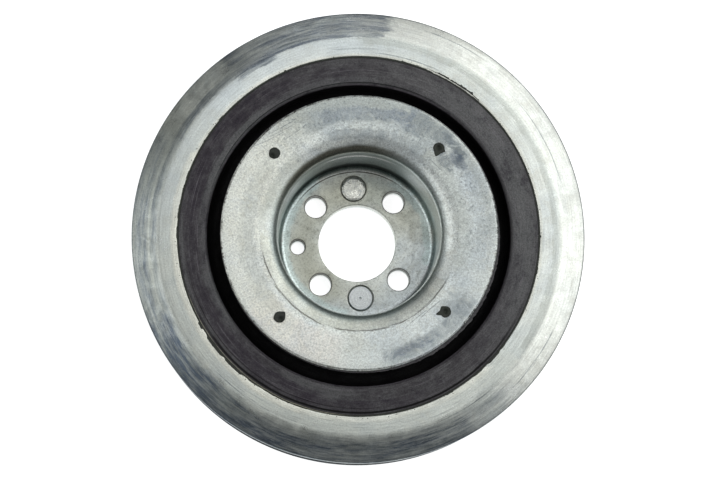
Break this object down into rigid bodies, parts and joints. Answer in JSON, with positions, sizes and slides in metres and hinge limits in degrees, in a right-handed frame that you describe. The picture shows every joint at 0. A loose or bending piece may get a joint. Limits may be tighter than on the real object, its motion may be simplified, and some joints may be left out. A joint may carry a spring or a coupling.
{
  "type": "crankshaft pulley",
  "caption": "Crankshaft pulley: a ribbed belt rim carried by a rubber ring on a deep-drawn hub cup, with a rubber-mounted damper ring behind it.",
  "frame": {"origin": "centre of the bore, on the rear face that is bolted to the crankshaft", "axes": "+Z along the crankshaft's axis, away from the engine; -X through the locating hole; +Y through the rivet with the hammered head"},
  "size_m": [0.18, 0.18, 0.0434],
  "materials": {
    "zinc_plated_steel": "bright zinc plating, mottled, with handling scratches",
    "rivet_steel": "plated steel, hammered on one head",
    "isolator_rubber": "matt moulded rubber",
    "damper_rubber": "matt moulded rubber",
    "cast_iron": "turned grey iron",
    "bush_polymer": "plain bearing liner"
  },
  "bodies": {
    "root": {"pulley_rim": "zinc_plated_steel", "outer_sleeve": "zinc_plated_steel", "isolator_rubber": "isolator_rubber", "hub_cup": "zinc_plated_steel", "damper_hub": "zinc_plated_steel", "damper_rubber": "damper_rubber", "inertia_ring": "cast_iron", "bearing_bush": "bush_polymer", "rivet_top": "rivet_steel", "rivet_bottom": "rivet_steel"}
  },
  "joints": []
}
